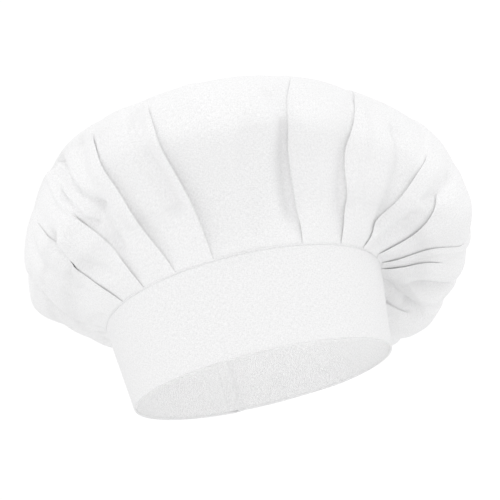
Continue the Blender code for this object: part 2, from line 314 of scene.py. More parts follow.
# Soft folds between the creases: from and to, each as an angle and a distance up the cloth, then the
# half width and the height, which is negative for a hollow.
SOFT_FOLDS = (
    ((-12.4, 0.035), (-12.6, 0.125), 0.006, -0.0054),
    ((-29.8, 0.035), (-30.4, 0.095), 0.007, -0.0042),
    ((-42.8, 0.051), (-47.1, 0.046), 0.005, 0.0032),
    ((-47.0, 0.088), (-36.8, 0.048), 0.0040, 0.0042),
    ((-40.5, 0.070), (-35.8, 0.043), 0.0026, -0.0032),
    ((-42.0, 0.084), (-34.2, 0.048), 0.0028, 0.0035),
    ((-41.0, 0.092), (-32.4, 0.050), 0.0045, -0.0054),
    ((-32.2, 0.050), (-33.6, 0.026), 0.0045, -0.0032),
    ((-51.4, 0.052), (-54.1, 0.038), 0.0045, -0.0067),
    ((-47.1, 0.0455), (-52.7, 0.038), 0.0045, 0.0032),
    ((-49.5, 0.026), (-44.5, 0.020), 0.0050, -0.0048),
    ((7.4, 0.080), (7.2, 0.012), 0.0090, -0.0035),
    ((-1.0, 0.115), (2.0, 0.050), 0.0090, 0.0026),
    ((21.0, 0.018), (13.5, 0.100), 0.0060, -0.0042),
    ((39.7, 0.030), (38.2, 0.085), 0.0060, 0.0029),
    ((50.5, 0.080), (56.0, 0.018), 0.0060, -0.0054),
    ((64.6, 0.009), (66.4, 0.030), 0.0060, -0.0075),
    ((65.0, 0.046), (71.9, 0.073), 0.0045, -0.0042),
    ((105.5, 0.008), (113.0, 0.038), 0.0060, -0.0075),
    ((96.8, 0.018), (109.5, 0.050), 0.0050, 0.0038),
    ((116.2, 0.050), (111.7, 0.037), 0.0045, -0.0054),
    ((-81.6, 0.0150), (-72.3, 0.0055), 0.0012, -0.0012),
    ((-79.0, 0.0170), (-69.0, 0.0040), 0.0012, -0.0012),
    ((-74.0, 0.0130), (-66.0, 0.0030), 0.0012, -0.0011),
    ((-64.0, 0.070), (-62.0, 0.022), 0.0080, -0.0035),
    ((-105.0, 0.020), (-103.0, 0.070), 0.0070, -0.0042),
    ((-131.0, 0.025), (-133.0, 0.090), 0.0070, -0.0042),
    ((135.0, 0.020), (133.0, 0.080), 0.0070, -0.0042),
    ((147.0, 0.040), (149.0, 0.100), 0.0070, 0.0032),
    ((174.0, 0.030), (175.0, 0.090), 0.0070, -0.0038),
)
TOP_FOLDS = 19
TOP_FOLD_WIDTH = 0.007

# Each light's name, place, size and power.
LIGHTS = (
    ("left", (-2.0, -0.8, 0.8), 0.7, 4.0),
    ("front", (0.1, -2.1, 1.4), 0.7, 5.9),
    ("right", (2.0, -0.8, 0.9), 0.9, 4.5),
    ("under", (0.0, -0.25, -0.52), 1.1, 0.5),
)
LIGHTS_AIM = (0.0, 0.0, 0.10)
FLOOR_LEVEL = -0.55
WORLD_STRENGTH = 0.92
BACKDROP_STRENGTH = 1.05
GLOW_POWER = 0.172


# ---- geometry helpers
def smoothstep(value):
    value = np.clip(value, 0.0, 1.0)
    return value * value * (3.0 - 2.0 * value)


def tuck_at(degrees):
    """How far the under end lies inside the oval: less past the tapes, where it is pressed outwards."""
    pressed = END_PRESS * smoothstep((degrees - HINGE_DEG + END_PRESS_DEG) / END_PRESS_DEG)
    run = TAB_END_DEG - 1.0 - TUCK_START_DEG
    return TUCK * smoothstep((degrees - TUCK_START_DEG) / run) - pressed


def thinned(degrees):
    """From 0 to 1 over the last of the tucked end, where the band is pressed thinner."""
    return smoothstep((degrees - HINGE_DEG + END_THIN_FROM_DEG) / END_THIN_RUN_DEG)


def band_point(degrees, height, depth):
    """A point `depth` inside the band's outer oval at this height. Arguments may be arrays."""
    degrees, height, depth = np.broadcast_arrays(degrees, height, depth)
    angle = np.radians(degrees)
    size = 1.0 + BAND_FLARE * height / BAND_HEIGHT
    across, along = np.sin(angle) / BAND_HALF_WIDTH, -np.cos(angle) / BAND_HALF_LENGTH
    length = np.hypot(across, along)
    x = BAND_HALF_WIDTH * size * np.sin(angle) - depth * across / length
    y = -BAND_HALF_LENGTH * size * np.cos(angle) - depth * along / length
    return np.stack([x, y, height], axis=-1)


def smooth_curve(values, place, closed=False):
    """A smooth curve through evenly spaced values, read at a place counted in values from the first."""
    values = np.asarray(values)
    index = np.floor(place).astype(int)
    t = place - index
    picks = [index + k for k in (-1, 0, 1, 2)]
    wrap = [pick % len(values) if closed else np.clip(pick, 0, len(values) - 1) for pick in picks]
    a, b, c, d = (values[pick] for pick in wrap)
    return b + 0.5 * t * (c - a + t * (2.0 * a - 5.0 * b + 4.0 * c - d + t * (3.0 * (b - c) + d - a)))


def around(values, degrees):
    """A smooth closed curve through values spaced evenly round the head from the brow."""
    return smooth_curve(values, np.asarray(degrees) / 360.0 * len(values), closed=True)


def bezier(start, first, second, end, t):
    """Rows of points along cubic curves from start to end."""
    t = t[:, None, None]
    u = 1.0 - t
    return u**3 * start + 3.0 * u**2 * t * first + 3.0 * u * t**2 * second + t**3 * end


def grid_mesh(name, points, uv, weld=0.0):
    """A smooth mesh through a grid of points, with the cloth's own flat metres as its UV map."""
    rows, columns = points.shape[:2]
    index = np.arange(rows * columns).reshape(rows, columns)
    left, right = index[:, :-1], index[:, 1:]
    faces = np.stack([left[:-1], right[:-1], right[1:], left[1:]], axis=-1).reshape(-1, 4)
    mesh = bpy.data.meshes.new(name)
    mesh.from_pydata(points.reshape(-1, 3).tolist(), [], faces.tolist())
    layer = mesh.uv_layers.new(name="cloth")
    layer.data.foreach_set("uv", uv.reshape(-1, 2)[faces.reshape(-1)].astype(np.float32).ravel())
    obj = bpy.data.objects.new(name, mesh)
    scene.collection.objects.link(obj)
    if weld:
        bm = bmesh.new()
        bm.from_mesh(mesh)
        bmesh.ops.remove_doubles(bm, verts=bm.verts, dist=weld)
        bmesh.ops.dissolve_degenerate(bm, edges=bm.edges, dist=1e-7)
        bm.to_mesh(mesh)
        bm.free()
    mesh.shade_smooth()
    return obj


def thread_mesh(name, verts, faces, material):
    """A smooth object of thin threads."""
    mesh = bpy.data.meshes.new(name)
    mesh.from_pydata(verts, [], faces)
    mesh.shade_smooth()
    mesh.materials.append(material)
    obj = bpy.data.objects.new(name, mesh)
    scene.collection.objects.link(obj)
    return obj


def tube_faces(base, rings, sides):
    """The faces of a closed tube whose rings of points start at the vertex `base`."""
    faces = []
    for k in range(rings - 1):
        for j in range(sides):
            a, b = base + k * sides + j, base + k * sides + (j + 1) % sides
            faces.append((a, b, b + sides, a + sides))
    faces.append(tuple(base + j for j in range(sides))[::-1])
    faces.append(tuple(base + (rings - 1) * sides + j for j in range(sides)))
    return faces


def declare(obj, body, slot_name, nodes):
    """Names the body the piece rides on, the nodes it stands for and the slot its finish comes from."""
    if body:
        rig.ride(obj, body)
    if nodes:
        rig.replaces(obj, *nodes)
    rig.slot(obj, slot_name)


def finish_piece(obj, body, material, slot_name, nodes):
    obj.data.materials.clear()
    obj.data.materials.append(material)
    declare(obj, body, slot_name, nodes)


# ---- materials
SLUB_FINE = 1800.0
SLUB_LONG = 500.0
SLUB_HEIGHT = 2.2
GRAIN = 1900.0
TONE_SPAN = (0.34, 0.62)


def node(tree, kind, **inputs):
    made = tree.nodes.new(kind)
    for key, value in inputs.items():
        made.inputs[key.replace("_", " ")].default_value = value
    return made


def math_node(tree, operation, first, second=None):
    made = tree.nodes.new("ShaderNodeMath")
    made.operation = operation
    for socket, value in zip(made.inputs, (first, second)):
        if value is None:
            continue
        if isinstance(value, (int, float)):
            socket.default_value = value
        else:
            tree.links.new(value, socket)
    return made.outputs[0]


def cloth_material(name, colour, shade, roughness, sheen, weave, twill=False, depth=0.000025):
    """Woven cloth: threads at the weave's pitch, slubs both ways, and a faint change of tone."""
    material = bpy.data.materials.new(name)
    material.use_nodes = True
    tree = material.node_tree
    shader = tree.nodes["Principled BSDF"]
    shader.inputs["Roughness"].default_value = roughness
    shader.inputs["Sheen Weight"].default_value = sheen
    shader.inputs["Sheen Roughness"].default_value = 0.5
    shader.inputs["Specular IOR Level"].default_value = 0.15
    uv = tree.nodes.new("ShaderNodeUVMap")
    uv.uv_map = "cloth"
    split = tree.nodes.new("ShaderNodeSeparateXYZ")
    tree.links.new(uv.outputs[0], split.inputs[0])
    across, along = split.outputs[0], split.outputs[1]
    turn = 2.0 * math.pi / weave
    if twill:
        slant = math_node(tree, "ADD", across, along)
        ridges = math_node(tree, "SINE", math_node(tree, "MULTIPLY", slant, turn * 0.7))
        threads = math_node(tree, "SINE", math_node(tree, "MULTIPLY", along, turn * 1.6))
        height = math_node(tree, "ADD", ridges, math_node(tree, "MULTIPLY", threads, 0.4))
    else:
        warp = math_node(tree, "SINE", math_node(tree, "MULTIPLY", across, turn))
        weft = math_node(tree, "SINE", math_node(tree, "MULTIPLY", along, turn))
        height = math_node(tree, "MULTIPLY", warp, weft)

    def streaks(offset, scale_u, scale_v):
        mapping = tree.nodes.new("ShaderNodeMapping")
        mapping.inputs["Scale"].default_value = (scale_u, scale_v, 1.0)
        mapping.inputs["Location"].default_value = (offset, 3.1 * offset, 0.0)
        tree.links.new(uv.outputs[0], mapping.inputs[0])
        noise = node(tree, "ShaderNodeTexNoise", Scale=1.0, Detail=1.0, Roughness=0.6)
        tree.links.new(mapping.outputs[0], noise.inputs["Vector"])
        return noise.outputs["Fac"]

    warp_slub = streaks(1.7, SLUB_FINE, SLUB_LONG)
    weft_slub = streaks(5.3, SLUB_LONG, SLUB_FINE)
    grain = streaks(9.1, GRAIN, GRAIN)
    slubs = math_node(tree, "ADD", warp_slub, weft_slub)
    rough_height = math_node(tree, "MULTIPLY", math_node(tree, "ADD", slubs, grain), SLUB_HEIGHT)
    total = math_node(tree, "ADD", height, rough_height)
    bump = node(tree, "ShaderNodeBump", Strength=1.0, Distance=depth)
    tree.links.new(total, bump.inputs["Height"])
    tree.links.new(bump.outputs[0], shader.inputs["Normal"])

    tone = math_node(tree, "MULTIPLY", math_node(tree, "ADD", slubs, grain), 1.0 / 3.0)
    ramp = tree.nodes.new("ShaderNodeValToRGB")
    for element, position, tint in zip(ramp.color_ramp.elements, TONE_SPAN, (shade, colour)):
        element.position = position
        element.color = (*tint, 1.0)
    tree.links.new(tone, ramp.inputs[0])
    tree.links.new(ramp.outputs[0], shader.inputs["Base Color"])
    return material


def thread_material():
    """Twisted sewing thread, slightly glossier than the cloth; its colour is painted shade, darker in the grooves of
    the twist and darker than the cloth overall.
    """
    material = bpy.data.materials.new("sewing_thread_painted_shade")
    material.use_nodes = True
    tree = material.node_tree
    shader = tree.nodes["Principled BSDF"]
    shader.inputs["Roughness"].default_value = 0.55
    shader.inputs["Sheen Weight"].default_value = 0.2
    place = tree.nodes.new("ShaderNodeTexCoord")
    wave = node(tree, "ShaderNodeTexWave", Scale=900.0, Distortion=2.0)
    wave.bands_direction = "DIAGONAL"
    tree.links.new(place.outputs["Object"], wave.inputs["Vector"])
    bump = node(tree, "ShaderNodeBump", Strength=0.6, Distance=0.00004)
    tree.links.new(wave.outputs["Fac"], bump.inputs["Height"])
    tree.links.new(bump.outputs[0], shader.inputs["Normal"])
    # Painted shade: the colour darkens where the twist's wave is low, in the grooves that the bump draws, and stays
    # darker than the cloth, as the shadow of stitches sunk in the cloth.
    ramp = tree.nodes.new("ShaderNodeValToRGB")
    ramp.color_ramp.elements[0].color = (0.83, 0.835, 0.845, 1.0)
    ramp.color_ramp.elements[1].color = (0.92, 0.92, 0.925, 1.0)
    tree.links.new(wave.outputs["Fac"], ramp.inputs[0])
    tree.links.new(ramp.outputs[0], shader.inputs["Base Color"])
    return material


# Painted light: the crown and the band are one poplin in two copies; the crown's copy is painted lighter, a painted
# glow of light through the thin crown cloth.
CROWN_POPLIN_PAINTED_GLOW = cloth_material("white_poplin", (0.98, 0.98, 0.98), (0.79, 0.79, 0.791), 0.85, 0.12, 0.0007)
# Painted shade: the band's copy of the same poplin is painted darker than the crown's.
BAND_POPLIN_PAINTED_SHADE = cloth_material("white_band_poplin_painted_shade", (0.93, 0.93, 0.93), (0.75, 0.75, 0.751), 0.85, 0.12,
                             0.0007)
TWILL = cloth_material("white_twill", (0.965, 0.965, 0.965), (0.74, 0.74, 0.741), 0.9, 0.1, 0.0016,
                       twill=True, depth=0.00006)
TAPE = cloth_material("woven_tape", (0.88, 0.88, 0.885), (0.79, 0.79, 0.80), 0.75, 0.1, 0.0012)
THREAD_PAINTED_SHADE = thread_material()


# ---- crown
FINE_DEG = np.arange(-184.0, 221.0, 1.0)
LOWER_ROWS = 44
UPPER_ROWS = 48


def crown_base(degrees):
    """The crown without its pleats: rows of points from the seam to the middle of the top."""
    angle = np.radians(degrees)
    out = np.stack([np.sin(angle), -np.cos(angle), 0.0 * angle], axis=-1)
    up = np.array([0.0, 0.0, 1.0])
    reach, level = around(CROWN_REACH, degrees), around(CROWN_LEVEL, degrees)
    slope_deg = around(CROWN_SLOPE_DEG, degrees)
    slope = np.radians(slope_deg)[:, None]
    steep = smoothstep((slope_deg - 5.0) / 35.0)
    lip_height = BAND_HEIGHT + LIP - LIP_DROP * steep
    lip = band_point(degrees, lip_height, -LIP + (LIP + CROWN_DEPTH) * steep)
    fullest = out * reach[:, None] + up * level[:, None]
    span = np.linalg.norm(fullest - lip, axis=1, keepdims=True)
    leave = lip + span * LOWER_PULL[0] * (out * np.cos(slope) + up * np.sin(slope))
    arrive = fullest - up * span * LOWER_PULL[1]
    share = np.linspace(0.0, 1.0, LOWER_ROWS + 1) ** LOWER_CROWDING
    lower = bezier(lip, leave, arrive, fullest, share)
    top = np.array(CROWN_TOP)
    climb = fullest + up * (top[2] - level)[:, None] * UPPER_PULL[0]
    level_in = top + (fullest - top) * np.array([1.0, 1.0, 0.0]) * UPPER_PULL[1]
    share = np.linspace(0.0, 1.0, UPPER_ROWS + 1)
    upper = bezier(fullest, climb, level_in, top + 0.0 * fullest, share)
    return np.concatenate([lower, upper[1:]])


def outward_normals(rows):
    along = np.gradient(rows, axis=0)
    round_head = np.gradient(rows, axis=1)
    normals = np.cross(round_head, along)
    length = np.linalg.norm(normals, axis=2, keepdims=True)
    normals = np.where(length > 1e-12, normals / np.maximum(length, 1e-12), [0.0, 0.0, 1.0])
    normals[-1] = [0.0, 0.0, 1.0]
    return normals


def ramp_at(distance, ramp):
    """Straight-line interpolation between (distance, value) pairs."""
    places, values = zip(*ramp)
    return np.interp(distance, places, values)


def faded(distance, crisp):
    """The distance at which a long fold looks as this one does here: short creases fade out earlier."""
    return distance * np.maximum(1.0, SOFTEST / crisp)


def section_place(place, overlap, under_room):
    """How far from the crease one point of the folded section lies, kept within the cloth there is."""
    if place == "tip":
        return overlap - TIP_HALF
    if place == "past":
        return overlap + TIP_HALF
    if place > 0.001:
        place = np.minimum(place, np.maximum(0.8 * overlap, 0.0010))
    return np.maximum(place, -0.3 * under_room)


def crease_section(s, edge, side, crisp, depth, over_room, under_room, metres_per_degree):
    """One fold's points from its lower cloth to its upper cloth, and the step between the two cloths."""
    strength = 1.0 + (depth - 1.0) * smoothstep(s / 0.02)
    lift = ramp_at(faded(s, crisp), STEP_RAMP) * strength
    hollow = np.minimum(ramp_at(faded(s, crisp), HOLLOW_RAMP) * strength, 0.16 * under_room)
    stretch = s / crisp
    overlap = np.minimum(ramp_at(stretch, OVERLAP_RAMP), 0.45 * over_room)
    reach = np.minimum(ramp_at(stretch, REACH_RAMP), 0.42 * np.minimum(over_room, under_room))
    opened = smoothstep((stretch - OPENING_FROM) / OPENING_RUN)
    points = []
    for place, sunk, raised, wide, open_sunk, open_raised in FOLD_SECTION:
        across = section_place(place, overlap, under_room)
        across = across + (reach * wide - across) * opened
        sink = hollow * (sunk + (open_sunk - sunk) * opened)
        rise = lift * (raised + (open_raised - raised) * opened)
        points.append((edge + side * across / metres_per_degree, sink + rise))
    return points, lift


def pleat_controls(s, metres_per_degree):
    """Control points of the folded cross-section: degrees round the head, and height off the base.

    Each pleat is a fold: the cloth runs under its neighbour, turns back, turns again at the fold's
    edge and goes on as the next visible panel. `s` is each row's distance up the cloth.
    """
    slit = SLIT_HALF_WIDTH_DEG * np.clip(1.0 - s / SLIT_TOP, 0.0, 1.0)
    first_edge, last_edge = HINGE_DEG - 360.0 + slit, HINGE_DEG - slit
    edges = [smooth_curve(angles, s / CREASE_STEP) for angles, _, _, _ in PLEATS]
    edges = [first_edge, *edges, last_edge]
    step = ramp_at(s, STEP_RAMP)
    bulge = ramp_at(s, BULGE_RAMP)
    controls = []

    def add(degrees, height):
        controls.append((degrees + 0.0 * s, height + 0.0 * s))

    def visible_cloth(left, right, left_height, right_height):
        """The panel of cloth between two creases."""
        width = right - left
        wobble = rng.normal(0.0, 0.2, 3)
        full = np.clip(width * metres_per_degree / WIDE_PANEL, 0.3, 1.0)
        for share, swell, extra in zip((0.32, 0.5, 0.68), (0.8, 1.0, 0.8), wobble):
            level = left_height * (1.0 - share) + right_height * share
            add(left + width * share, level + full * bulge * (swell + extra))

    left, left_height = first_edge, step
    add(left, left_height)
    add(left, left_height)
    for i, (_, side, crisp, depth) in enumerate(PLEATS):
        before = (edges[i + 1] - edges[i]) * metres_per_degree
        after = (edges[i + 2] - edges[i + 1]) * metres_per_degree
        rooms = (after, before) if side > 0 else (before, after)
        points, lift = crease_section(s, edges[i + 1], side, crisp, depth, *rooms, metres_per_degree)
        near, far = 0.0 * s, lift
        if side < 0:
            points, near, far = points[::-1], far, near
        visible_cloth(left, points[0][0], left_height, near)
        for degrees, height in points:
            add(degrees, height)
        left, left_height = points[-1][0], far
    visible_cloth(left, last_edge, left_height, step)
    add(last_edge, step)
    add(last_edge, step)
    return np.array([c[0] for c in controls]).T, np.array([c[1] for c in controls]).T


def b_spline(controls, samples):
    """Points along the smooth curve of each row of control values, ends included."""
    padded = np.concatenate([controls[:, :1], controls, controls[:, -1:]], axis=1)
    t = np.arange(samples) / samples
    rising, falling = -3 * t**3 + 3 * t**2 + 3 * t + 1, 3 * t**3 - 6 * t**2 + 4
    basis = np.stack([(1 - t) ** 3, falling, rising, t**3]) / 6.0
    windows = np.stack([padded[:, k : padded.shape[1] - 3 + k] for k in range(4)], axis=-1)
    curve = np.einsum("rck,kt->rct", windows, basis).reshape(len(controls), -1)
    return np.concatenate([curve, controls[:, -1:]], axis=1)


def soften(values, passes):
    for _ in range(passes):
        middle = 0.25 * values[:-2] + 0.5 * values[1:-1] + 0.25 * values[2:]
        values = np.concatenate([values[:1], middle, values[-1:]])
    return values


def sample_round(rows, degrees):
    """Reads a grid given at FINE_DEG at other angles, row by row."""
    place = (degrees - FINE_DEG[0]) / (FINE_DEG[1] - FINE_DEG[0])
    low = np.clip(np.floor(place).astype(int), 0, len(FINE_DEG) - 2)
    share = (place - low)[..., None]
    row = np.arange(len(rows))[:, None]
    return rows[row, low] * (1.0 - share) + rows[row, low + 1] * share


def soft_noise(shape, cells):
    """Smooth random values from -1 to 1 over a grid, with the given number of cells each way."""
    coarse = rng.uniform(-1.0, 1.0, (cells[0] + 3, cells[1] + 3))
    u = np.linspace(0, cells[0], shape[0], endpoint=False)
    v = np.linspace(0, cells[1], shape[1], endpoint=False)
    iu, iv = u.astype(int), v.astype(int)
    tu, tv = smoothstep(u - iu)[:, None], smoothstep(v - iv)[None, :]
    a, b = coarse[np.ix_(iu, iv)], coarse[np.ix_(iu, iv + 1)]
    c, d = coarse[np.ix_(iu + 1, iv)], coarse[np.ix_(iu + 1, iv + 1)]
    return (a * (1 - tv) + b * tv) * (1 - tu) + (c * (1 - tv) + d * tv) * tu


def soft_folds(degrees, climbed, metres_per_degree):
    """The height of the soft folds over the whole cloth, with small radiating ones over the top."""
    folds = list(SOFT_FOLDS)
    for place in np.linspace(-160.0, 195.0, TOP_FOLDS, endpoint=False):
        start, end = place + rng.uniform(-6.0, 6.0, 2)
        height = rng.choice((-1.0, 1.0)) * rng.uniform(0.0004, 0.0010)
        low, high = rng.uniform(0.125, 0.145), rng.uniform(0.17, 0.20)
        folds.append(((start, low), (end, high), TOP_FOLD_WIDTH, height))
    total = np.zeros_like(degrees)
    for (start_deg, start_up), (end_deg, end_up), width, height in folds:
        middle = float(np.interp(0.5 * (start_up + end_up), climbed, metres_per_degree))
        run = np.array([(end_deg - start_deg) * middle, end_up - start_up])
        across = (degrees - start_deg) * metres_per_degree[:, None]
        up = (climbed - start_up)[:, None]
        share = np.clip((across * run[0] + up * run[1]) / (run @ run), 0.0, 1.0)
        off = (across - share * run[0]) ** 2 + (up - share * run[1]) ** 2
        total += height * np.exp(-off / width**2)
    return total


def crown_relief(row_climb, metres_per_degree):
    """The places of the folded cloth round the head and its heights off the base, row by row."""
    degrees, heights = pleat_controls(row_climb, metres_per_degree)
    degrees, heights = soften(degrees, 3), soften(heights, 3)
    degrees, heights = b_spline(degrees, 4), b_spline(heights, 4)
    heights = heights - heights.mean(axis=1, keepdims=True) * smoothstep(row_climb / 0.03)[:, None]
    loose = smoothstep(row_climb / 0.05)[:, None] * smoothstep((0.27 - row_climb) / 0.08)[:, None]
    heights = heights + loose * LOOSE_HEIGHT * soft_noise(heights.shape, LOOSE_CELLS)
    return degrees, heights + soft_folds(degrees, row_climb, metres_per_degree)


def seam_allowance(degrees, heights):
    """Rows of cloth that go down inside the band, every fold pressed flat."""
    rim_normal = band_point(degrees, BAND_HEIGHT, -1.0) - band_point(degrees, BAND_HEIGHT, 0.0)
    depth = CROWN_DEPTH + tuck_at(degrees)
    folds = 0.7 * heights[:, None] * rim_normal
    return np.array([band_point(degrees, BAND_HEIGHT - drop, depth) + folds for drop in ALLOWANCE_DROPS])


def crown_uv(points, row_climb, brow):
    """Where each point lies on the flat circle of cloth; the column `brow` runs straight along +Y."""
    lengths = np.linalg.norm(np.diff(points, axis=1), axis=2)
    lengths[-1] = lengths[-2]
    travelled = np.concatenate([np.zeros((len(lengths), 1)), np.cumsum(lengths, axis=1)], axis=1)
    turn = 2.0 * math.pi * (travelled - travelled[:, brow : brow + 1]) / travelled[:, -1:]
    rim_distance = np.concatenate([-np.array(ALLOWANCE_DROPS), row_climb])
    radius = CROWN_FLAT_RADIUS * (1.0 - np.clip(rim_distance / row_climb[-1], -0.05, 1.0))
    return np.stack([radius[:, None] * np.sin(turn), radius[:, None] * np.cos(turn)], axis=-1)


def make_crown():
    base = crown_base(FINE_DEG)
    normals = outward_normals(base)
    steps = np.linalg.norm(np.diff(base, axis=0), axis=2)
    climbed = np.concatenate([np.zeros((1, len(FINE_DEG))), np.cumsum(steps, axis=0)])
    once_round = (FINE_DEG > HINGE_DEG - 360.0) & (FINE_DEG < HINGE_DEG)
    row_climb = climbed[:, once_round].mean(axis=1)
    metres_per_degree = np.linalg.norm(np.diff(base, axis=1), axis=2).mean(axis=1)
    metres_per_degree = np.maximum(metres_per_degree, 0.0002)
    degrees, heights = crown_relief(row_climb, metres_per_degree)
    points = sample_round(base, degrees) + heights[..., None] * sample_round(normals, degrees)
    points = np.concatenate([seam_allowance(degrees[0], heights[0]), points])
    brow = int(np.argmin(np.abs(degrees[0] - BROW_DEG)))
    crown = grid_mesh("crown_cloth", points, crown_uv(points, row_climb, brow), weld=2e-5)
    finish_piece(crown, "hat", CROWN_POPLIN_PAINTED_GLOW, "poplin", ("crown",))
    diameter = 2.0 * CROWN_FLAT_RADIUS
    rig.sheet(crown, flat=(diameter, diameter), held="gathered", rests_on=["band_cloth"],
             area=math.pi * CROWN_FLAT_RADIUS**2)
    make_slit_facing(points, row_climb)


def make_slit_facing(points, row_climb):
    """A strip of cloth behind each side of the slit, stitched down along it."""
    seam = len(ALLOWANCE_DROPS)
    rows = seam + int(np.searchsorted(row_climb, SLIT_TOP + FACING_EXTRA))
    strips, routes = [], []
    for side in (1, -1):
        grid = points[seam:rows, ::side]
        across = np.linalg.norm(np.diff(grid[10], axis=0), axis=1).cumsum()
        columns = 1 + int(np.searchsorted(across, FACING_WIDTH))
        grid = grid[:, : columns + 2]
        normals = np.cross(np.gradient(grid, axis=1), np.gradient(grid, axis=0))
        normals *= side / np.maximum(np.linalg.norm(normals, axis=2, keepdims=True), 1e-12)
        normals[:, 0] = normals[:, 1]
        strip = (grid - FACING_DEPTH * normals)[:, :columns]
        width = np.concatenate([[0.0], across])[:columns]
        up = arc_lengths(grid[:, 0])
        uv = np.stack(np.broadcast_arrays(width[None, :], up[:, None]), axis=-1)
        piece = grid_mesh("slit_strip", strip, uv)
        piece.data.materials.append(CROWN_POPLIN_PAINTED_GLOW)
        strips.append(piece)
        row = int(np.searchsorted(width, SLIT_STITCH_INSET))
        route, out = grid[1:, row], normals[1:, row]
        routes.append((route + STITCH_CLEARANCE * out, out))
        routes.append((route - (FACING_DEPTH + STITCH_CLEARANCE) * out, -out))
    facing = joined("slit_facing", strips, "hat", "poplin", ("crown_slit_facing",))
    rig.sheet(facing, flat=(0.016, 0.060), held="stretched", rests_on=["crown_cloth"])
    stitched("slit_stitches", routes, "hat", ())


# ---- band and tab
def arc_lengths(points):
    return np.concatenate([[0.0], np.cumsum(np.linalg.norm(np.diff(points, axis=0), axis=1))])


TRACK_DEG = np.linspace(SPLIT_DEG, TAB_END_DEG - 2.0, 400)
TRACK = arc_lengths(band_point(TRACK_DEG, 0.5 * BAND_HEIGHT, 0.0))
TRACK = TRACK - np.interp(-HINGE_DEG, -TRACK_DEG, TRACK)
TAB_LENGTH = float(np.interp(-TAB_END_DEG, -TRACK_DEG, TRACK))


def tab_angle(distance):
    """The angle that lies this far from the hinge towards the tab's free end."""
    return np.interp(distance, TRACK, TRACK_DEG)


def tab_edges(distance, inset=0.0):
    """Heights of the tab's edges: the band's full height before the hinge, and round at the free end."""
    onset = smoothstep((distance + TAB_ONSET) / TAB_ONSET_RUN)
    radius = TAB_CORNER - inset
    past = np.clip(distance - (TAB_LENGTH - TAB_CORNER), 0.0, radius)
    rise = radius - np.sqrt(radius**2 - past**2)
    return TAB_LOW * onset + inset + rise, BAND_HEIGHT - (BAND_HEIGHT - TAB_HIGH) * onset - inset - rise


def tab_distances(first, inset=0.0):
    """Distances from the hinge along the tab, closer together round its corners."""
    straight = np.arange(first, TAB_LENGTH - TAB_CORNER, TAB_STEP)
    corner = np.sin(np.linspace(0.0, 1.0, 13) * math.pi / 2.0) * (TAB_CORNER - inset)
    return np.concatenate([straight, TAB_LENGTH - TAB_CORNER + corner])


def laminate(name, angles, tuck, low, high, half, groove=0.0):
    """The band's cloth wrapped round its stiffener: a flat tube with rolled edges, swept round the head.

    `groove` is how deep the topstitching draws the outer face in below the upper edge.
    """
    rise = np.concatenate([np.linspace(0.0, 0.06, 13), np.linspace(0.06, 1.0, 14)[1:]])
    arc = np.linspace(0.0, math.pi, EDGE_TURNS + 1)[1:-1]
    rows, flat_rows = [], []
    inner_low, inner_high = low + half, high - half

    def row(depth, height, flat):
        rows.append(band_point(angles, height, depth + tuck))
        flat_rows.append(flat)

    for share in rise:
        at = inner_high + (inner_low - inner_high) * share
        below = high - SEAM_STITCH_INSET - at
        raised = 0.6 * smoothstep((0.0001 - below) / 0.0005)
        drawn = groove * (np.exp(-((below / GROOVE_HALF_WIDTH) ** 2)) - raised)
        row(ROLL - half + drawn, at, at)
    for turn in arc:
        row(ROLL - half * math.cos(turn), inner_low - half * math.sin(turn), inner_low - half * turn)
    for share in rise:
        row(ROLL + half, inner_low + (inner_high - inner_low) * share, -(inner_high - inner_low) * share)
    for turn in arc:
        row(ROLL + half * math.cos(turn), inner_high + half * math.sin(turn), -inner_high - half * turn)
    rows.append(rows[0])
    flat_rows.append(-inner_high - math.pi * half)
    points = np.array(rows)
    length = arc_lengths(band_point(angles, 0.5 * BAND_HEIGHT, 0.0))
    uv = np.stack(np.broadcast_arrays(length[None, :], np.array(flat_rows)), axis=-1)
    obj = grid_mesh(name, points[:, ::-1], uv[:, ::-1], weld=1e-6)
    close_holes(obj.data)
    return obj


def close_holes(mesh):
    """Caps the open end of a tube, with a sharp edge round the cap."""
    bm = bmesh.new()
    bm.from_mesh(mesh)
    bmesh.ops.holes_fill(bm, edges=[edge for edge in bm.edges if edge.is_boundary])
    bm.to_mesh(mesh)
    bm.free()
    mesh.shade_smooth()
    mesh.set_sharp_from_angle(angle=math.radians(60.0))


def panel(name, angles, depth, low, high, rows=16):
    """One flat layer of cloth that follows the band."""
    share = np.linspace(0.0, 1.0, rows)[:, None]
    heights = low + (high - low) * share
    points = band_point(angles[None, :], heights, depth)
    length = arc_lengths(band_point(angles, 0.5 * BAND_HEIGHT, 0.0))
    uv = np.stack(np.broadcast_arrays(length[None, :], heights), axis=-1)
    return grid_mesh(name, points, uv)


def rolled_end():
    """The half thicknesses over the last of a rolled edge, and how far from the edge each one is."""
    turn = np.linspace(0.0, math.pi / 2.0, 6)
    return ROLL * np.cos(turn), ROLL * (1.0 - np.sin(turn))


def hinge_points(reach):
    """Two points, the same distance before and after the hinge along the band."""
    ends = [Vector(band_point(float(tab_angle(d)), 0.5 * BAND_HEIGHT, 0.0)) for d in (-reach, reach)]
    return {"start": tuple(ends[0]), "end": tuple(ends[1])}


